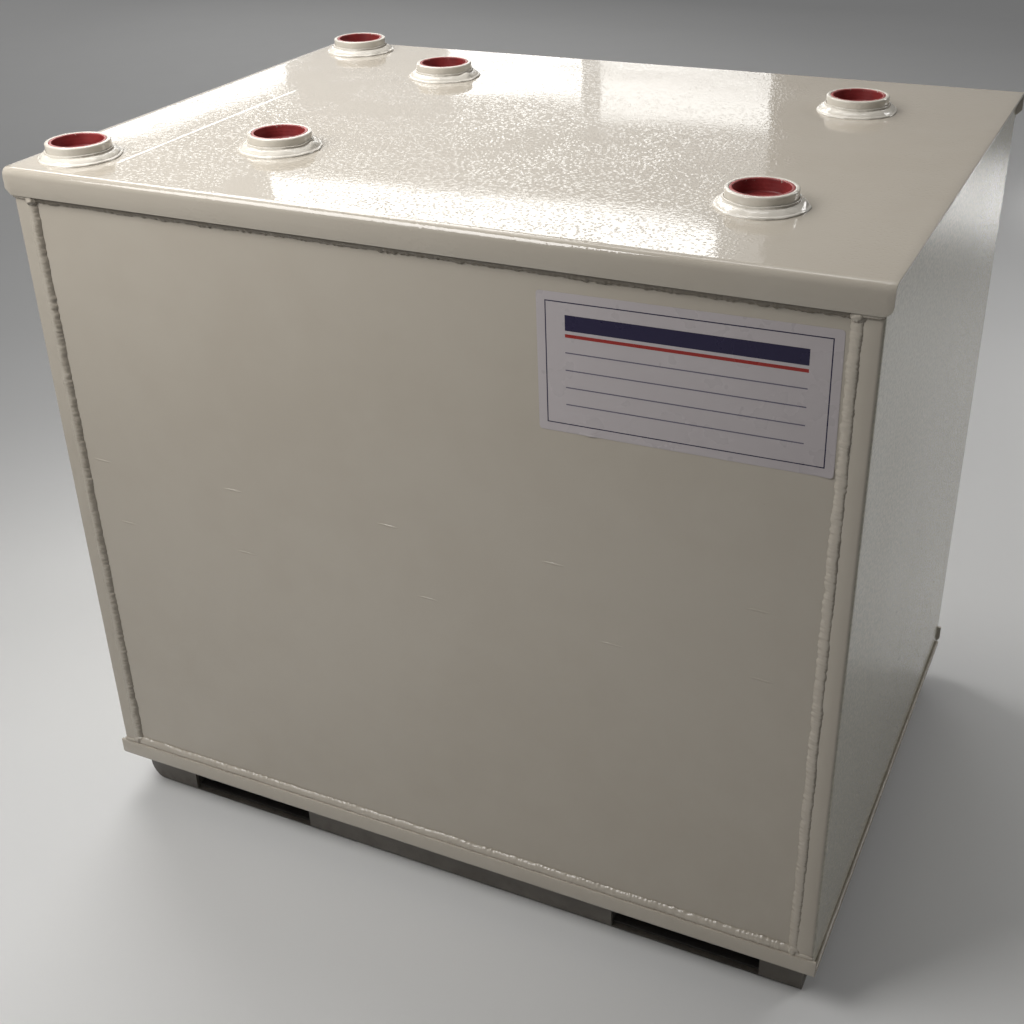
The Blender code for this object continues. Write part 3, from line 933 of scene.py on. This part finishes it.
def plugMaterial(name, centre, seed):
    material, tree, shader, place = startMaterial(name)
    mould = grain(tree, place, 60.0, 3.0)
    red = blendColour(tree, span(tree, mould, 0.3, 0.7), *plug["red"])
    shifted = put(tree, "Mapping", {"Vector": place, "Location": (seed * 0.37, seed * 0.11, 0)})
    drops = grain(tree, shifted.outputs[0], 210.0, 4.0, 0.65)
    high = put(tree, "SeparateXYZ", {0: place}).outputs["Z"]
    onRim = span(tree, high, centre.z - 0.004, centre.z - 0.0012)
    flecks = times(tree, span(tree, drops, 0.62, 0.66), onRim)
    # painted highlight: the top of the rim is lighter where it faces up to the lamps
    paintedRimHighlight = times(tree, span(tree, high, centre.z - 0.0012, centre.z - 0.0003), 0.35)
    colour = blendColour(tree, paintedRimHighlight, red, plug["paintedRimHighlight"])
    colour = blendColour(tree, flecks, colour, enamel["paint"])  # specks of overspray on the rim
    scuffs = grain(tree, place, 420.0, 2.0)
    rough = calc(tree, "MULTIPLY_ADD", scuffs, 0.20, 0.34)
    height = calc(tree, "MULTIPLY_ADD", flecks, 4.0, scuffs)
    coat(tree, shader, colour, rough, height, plug["bump"])
    return material


for number, (place, centre) in enumerate(sorted(bungPlaces.items())):
    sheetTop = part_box("top_sheet")[1].z
    spot = (centre.x, centre.y, sheetTop)
    collar = copyOf(bungMaster, f"bung_{place}_painted", spot)
    dress(collar, finishes["collar"], "enamel", f"bung_{place}")
    ring = copyOf(ringMaster, f"bung_bead_{place}", (0, 0, 0))
    ruffle(ring, 7.3 * number + 2, blobAngles[place])
    ring.location = spot
    settle(ring)
    dress(ring, finishes["ring"], "enamel", f"bung_weld_{place}")
    cup = copyOf(plugMaster, f"cup_plug_{place}", spot)
    rimTop = Vector((centre.x, centre.y, sheetTop + plug["rim"]))
    dress(cup, plugMaterial(f"red_plastic_{place}", rimTop, number + 1), "red", f"plug_{place}")
for master in (bungMaster, plugMaster, ringMaster):
    bpy.data.objects.remove(master)
print("couplings, ring welds and plugs placed")


# Base

base = {"sheet": 0.0048, "toe": 0.030, "toeCuts": 8, "pocket": 0.186, "edge": 0.0006}
lining = {"sheet": 0.003, "edge": 0.0004, "corner": 0.005, "wave": 0.0002, "waveSize": 0.08,
          "rows": 40}
railFold = {"flange": 0.038, "bend": 0.0072, "steps": 6, "across": 6, "along": 60}


def makeRail(end, sign):
    low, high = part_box(f"base_{end}_rail")
    tall, width = high.z - low.z, high.x - low.x
    face = high.y if sign > 0 else low.y
    rail = foldSheet(f"base_{end}_rail_painted", railFold, tall, width)
    trimCorner(rail, (-tall / 2, width / 2, 0), (0, 1, 0), (-1, 0, 0), base["toe"],
               base["toeCuts"], deep=1)
    stand(rail, (0, 0, 1), (0, sign, 0), (0, face, tall / 2))
    thicken(rail, base["sheet"], base["edge"])
    for side in sides:
        sleeveLow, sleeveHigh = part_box(f"fork_sleeve_{side}")
        middle = (sleeveLow.x + sleeveHigh.x) / 2
        window = begin(
            "window", bpy.ops.mesh.primitive_cube_add, size=1, location=(middle, face, tall / 2),
            scale=(base["pocket"], 4 * base["sheet"], tall - 2 * base["sheet"]),
        )
        cutWith(rail, window)
    return dress(rail, finishes["base"], "base", f"base_{end}_rail")


def makeRunner(side, sign):
    low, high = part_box(f"base_{side}_runner")
    tall, depth = high.z - low.z, high.y - low.y
    face = high.x if sign > 0 else low.x
    runner = foldSheet(f"base_{side}_runner_painted", railFold, tall, depth)
    stand(runner, (0, 0, 1), (sign, 0, 0), (face, 0, tall / 2))
    thicken(runner, base["sheet"], base["edge"])
    return dress(runner, finishes["base"], "base", f"base_{side}_runner")


def makeSleeve(side):
    low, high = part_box(f"fork_sleeve_{side}")
    sleeve = begin(
        f"fork_sleeve_{side}_painted", bpy.ops.mesh.primitive_cube_add,
        size=1, location=(low + high) / 2, scale=high - low,
    )
    pick(sleeve, "FACE", lambda points: max(p.y for p in points) - min(p.y for p in points) < hair)
    bpy.ops.mesh.delete(type="ONLY_FACE")
    back()

    def lengthways(points):
        return abs(points[0].y - points[1].y) > hair

    pick(sleeve, "EDGE", lengthways)
    bpy.ops.mesh.bevel(offset=lining["corner"], segments=5, affect="EDGES")
    back()
    pick(sleeve, "EDGE", lengthways)
    bpy.ops.mesh.subdivide(number_cuts=lining["rows"])
    back()
    warp(sleeve, lambda point: lining["wave"] * lump(point, lining["waveSize"], 33))
    thicken(sleeve, lining["sheet"], lining["edge"])
    return dress(sleeve, finishes["pocket"], "base", f"fork_sleeve_{side}")


for endName, endSign in ends.items():
    makeRail(endName, endSign)
for sideName, sideSign in sides.items():
    makeRunner(sideName, sideSign)
    makeSleeve(sideName)
print("base built")


# Blank label and the stitch marks on the front panel

label = {"left": 0.1555, "right": 0.4500, "top": 0.8290, "bottom": 0.6840, "tilt": 0.8,
         "corner": 0.004, "film": 0.00025, "stand": 0.0003, "lift": 0.0011, "liftReach": 0.022,
         "nick": 0.212, "nickLift": 0.001, "nickReach": 0.009,
         "paper": ((0.44, 0.405, 0.41, 1), (0.41, 0.375, 0.38, 1)), "ink": (0.018, 0.014, 0.045, 1),
         "rule": (0.12, 0.11, 0.15, 1), "red": (0.28, 0.025, 0.02, 1), "grain": 0.005,
         "peel": 0.00001}
labelWide, labelTall = label["right"] - label["left"], label["top"] - label["bottom"]
labelMiddle = ((label["left"] + label["right"]) / 2, 0, (label["top"] + label["bottom"]) / 2)


def labelMaterial():
    material, tree, shader, place = startMaterial("label_film")
    sockets = {"Vector": place, "Location": labelMiddle, "Scale": (labelWide, 1, labelTall),
               "Rotation": (0, -math.radians(label["tilt"]), 0)}
    own = put(tree, "Mapping", sockets, vector_type="TEXTURE").outputs[0]
    parts = put(tree, "SeparateXYZ", {0: own}).outputs
    u, v = parts["X"], parts["Z"]  # -0.5 to 0.5 over the label

    def band(value, middleAt, half):
        return calc(tree, "COMPARE", value, middleAt, half)

    inFrame = times(tree, band(u, 0.0, 0.470), band(v, 0.0, 0.440))
    inHollow = times(tree, band(u, 0.0, 0.466), band(v, 0.0, 0.432))
    border = calc(tree, "SUBTRACT", inFrame, inHollow)
    measure = band(u, 0.0, 0.40)  # how far the bars and rules reach
    rules = 0.0
    for row in range(4):
        line = times(tree, band(v, 0.085 - 0.125 * row, 0.0045), measure)
        rules = calc(tree, "MAXIMUM", rules, line)
    stripe = times(tree, band(v, 0.295, 0.055), measure)
    redStripe = times(tree, band(v, 0.205, 0.012), measure)
    film = grain(tree, place, 5.0, 3.0)
    colour = blendColour(tree, span(tree, film, 0.3, 0.7), *label["paper"])
    for mask, tint in ((border, "ink"), (rules, "rule"), (stripe, "ink"), (redStripe, "red")):
        colour = blendColour(tree, mask, colour, label[tint])
    rough = calc(tree, "MULTIPLY_ADD", grain(tree, place, 30.0, 3.0), 0.12, 0.22)
    peel = groupIn(tree, "orangePeel", Position=place, Grain=label["grain"])["Height"]
    coat(tree, shader, colour, rough, peel, label["peel"])
    return material


def makeLabel():
    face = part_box("front_panel")[0].y
    sheet = begin(
        "blank_label", bpy.ops.mesh.primitive_grid_add,
        x_subdivisions=84, y_subdivisions=40, size=1, rotation=(math.pi / 2, 0, 0),
    )
    sheet.scale = (labelWide, 1, labelTall)
    settle(sheet)

    def atCorner(points):
        x, z = abs(points[0].x), abs(points[0].z)
        return x > labelWide / 2 - hair and z > labelTall / 2 - hair

    pick(sheet, "VERT", atCorner)
    bpy.ops.mesh.bevel(offset=label["corner"], segments=4, affect="VERTICES")
    back()
    sheet.rotation_euler = (0, -math.radians(label["tilt"]), 0)
    sheet.location = labelMiddle
    settle(sheet)
    loose = Vector((label["right"], 0, label["bottom"]))
    for vert in sheet.data.vertices:
        away = (vert.co - loose).length
        lift = label["lift"] * (1 - ease(away / label["liftReach"])) ** 2
        away = math.hypot(vert.co.x - label["nick"], vert.co.z - label["bottom"])
        lift += label["nickLift"] * (1 - ease(away / label["nickReach"]))
        vert.co.y = face - panelSwell("front", vert.co.x, vert.co.z) - label["stand"] - lift
    use(sheet, "SOLIDIFY", thickness=label["film"], offset=-1)
    return dress(sheet, labelMaterial(), "label")


stitch = {
    "size": (0.0185, 0.0013, 0.0016), "sink": 0.0008, "wave": 0.0006, "waveSize": 0.012,
    "upper": [(-0.4285, 0.525), (-0.2385, 0.525), (-0.0305, 0.525), (0.1695, 0.525), (0.3895, 0.525)],
    "lower": [(-0.4065, 0.443), (-0.2305, 0.442), (0.0135, 0.441), (0.2355, 0.441), (0.3975, 0.443)],
}


def makeStitchMarks():
    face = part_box("front_panel")[0].y
    master = begin(
        "stitch_master", bpy.ops.mesh.primitive_uv_sphere_add, segments=32, ring_count=16, radius=1
    )
    for vert in master.data.vertices:
        vert.co = Vector([part * size for part, size in zip(vert.co, stitch["size"])])
        vert.co.z += stitch["wave"] * lump(vert.co, stitch["waveSize"], 4)
    marks = []
    for number, (x, z) in enumerate(stitch["upper"] + stitch["lower"]):
        proud = panelSwell("front", x, z) - stitch["sink"]
        marks.append(copyOf(master, f"stitch_{number}", (x, face - proud, z)))
    bpy.data.objects.remove(master)
    return dress(joined(marks, "stitch_marks"), finishes["panel"], "enamel")


makeLabel()
makeStitchMarks()
print("label and stitch marks on")


# Floor, light and camera

studio = {"floor": 40.0, "world": (0.15, 0.15, 0.152, 1), "pane": (1, 1, 0.98),
          "lamp": (1, 0.99, 0.975)}
sky = {"turn": (-22, -14, 0), "strength": 0.3, "softness": 50}
lamps = {  # place, what it points at, size, power and spread
    "key": ((-0.74, -1.10, 1.77), (-0.38, -0.36, 0.87), (1.0, 0.8), 9.8, 110),
    "skylight": ((-1.0, 0.55, 1.95), (0, 0, 0.84), (1.0, 1.0), 6.5, 100),
    "strip": ((-0.30, 0.12, 2.4), (-0.30, 0.12, 0), (1.5, 0.4), 3.2, 120),
    "rim": ((2.2, 2.4, 2.2), (0.48, 0.2, 0.5), (1.0, 1.0), 23, 180),
    "pool": ((0.86, 1.5, 1.2), (0.86, 1.5, 0), (0.3, 0.8), 0.8, 90),
    "patch": ((0.82, 2.85, 1.0), (0.82, 2.85, 0), (0.25, 0.35), 2.6, 60),
    "glow": ((-4.15, 5.6, 2.45), (-4.15, 0, 2.45), (5.7, 3.1), 27, 180),
}
windows = {  # bright panes behind, which the glossy top mirrors: x and z range, and strength
    "upper": (-4.02, -1.36, 2.70, 3.05, 3.4),
    "lowerLeft": (-2.83, -2.09, 1.70, 1.95, 3.2),
    "lowerLeftDim": (-2.83, -2.09, 1.95, 2.00, 1.0),
    "lowerLeftTop": (-2.83, -2.09, 2.00, 2.16, 2.6),
    "lowerRight": (-1.99, -1.13, 1.70, 1.86, 3.2),
    "lowerRightDim": (-1.99, -1.13, 1.86, 2.06, 0.9),
    "lowerRightTop": (-1.99, -1.13, 2.06, 2.22, 1.6),
}
windowWall = 5.0
sideWindow = {"x": -4.5, "low": (4.1, 1.9), "high": (5.95, 2.44), "strength": 2.6}


def placed(name, data, place, turn):
    thing = bpy.data.objects.new(name, data)
    bpy.context.collection.objects.link(thing)
    thing.location = place
    thing.rotation_euler = turn
    return thing


def areaLight(name, place, turn, size, power, colour, spread=180):
    data = bpy.data.lights.new(name, "AREA")
    data.shape = "RECTANGLE"
    data.size, data.size_y = size
    data.energy = power
    data.spread = math.radians(spread)
    data.color = colour
    placed(name, data, place, turn)


def pane(name, place, turn, wide, tall, strength):
    areaLight(name, place, turn, (wide, tall), strength * math.pi * wide * tall, studio["pane"])


def floorMaterial():
    material, tree, shader, place = startMaterial("pale_floor")
    tone = grain(tree, place, 1.3, 4.0)
    colour = blendColour(tree, tone, (0.60, 0.60, 0.595, 1), (0.64, 0.64, 0.635, 1))
    rough = calc(tree, "MULTIPLY_ADD", grain(tree, place, 7.0, 3.0), 0.2, 0.55)
    feed(tree, shader, {"Base Color": colour, "Roughness": rough})
    return material


floor = begin("studio_floor", bpy.ops.mesh.primitive_plane_add, size=studio["floor"])
floor.data.materials.append(floorMaterial())

scene = bpy.context.scene
world = bpy.data.worlds.new("studio_world")
world.use_nodes = True
world.node_tree.nodes["Background"].inputs["Color"].default_value = studio["world"]
scene.world = world
for lampName, (place, target, size, power, spread) in lamps.items():
    turn = (Vector(target) - Vector(place)).to_track_quat("-Z", "Y").to_euler()
    areaLight(lampName, place, turn, size, power, studio["lamp"], spread)
softSky = bpy.data.lights.new("soft_sky", "SUN")
softSky.energy = sky["strength"]
softSky.angle = math.radians(sky["softness"])
placed("soft_sky", softSky, (0, 0, 0), [math.radians(angle) for angle in sky["turn"]])
for paneName, (x1, x2, z1, z2, strength) in windows.items():
    middle = ((x1 + x2) / 2, windowWall, (z1 + z2) / 2)
    pane(f"pane_{paneName}", middle, (-math.pi / 2, 0, 0), x2 - x1, z2 - z1, strength)
(y1, z1), (y2, z2) = sideWindow["low"], sideWindow["high"]
pane("pane_side", (sideWindow["x"], (y1 + y2) / 2, (z1 + z2) / 2), (math.pi / 2, 0, -math.pi / 2),
     y2 - y1, z2 - z1, sideWindow["strength"])

view = {"place": (0.68707, -1.48379, 1.30169), "turn": (60.1905, 1.4976, 25.6492), "lens": 49.2137}
camera = placed("camera", bpy.data.cameras.new("camera"), view["place"],
                [math.radians(angle) for angle in view["turn"]])
camera.data.lens = view["lens"]
camera.data.sensor_width = 36
scene.camera = camera
scene.view_settings.view_transform = "Standard"
print("studio set")
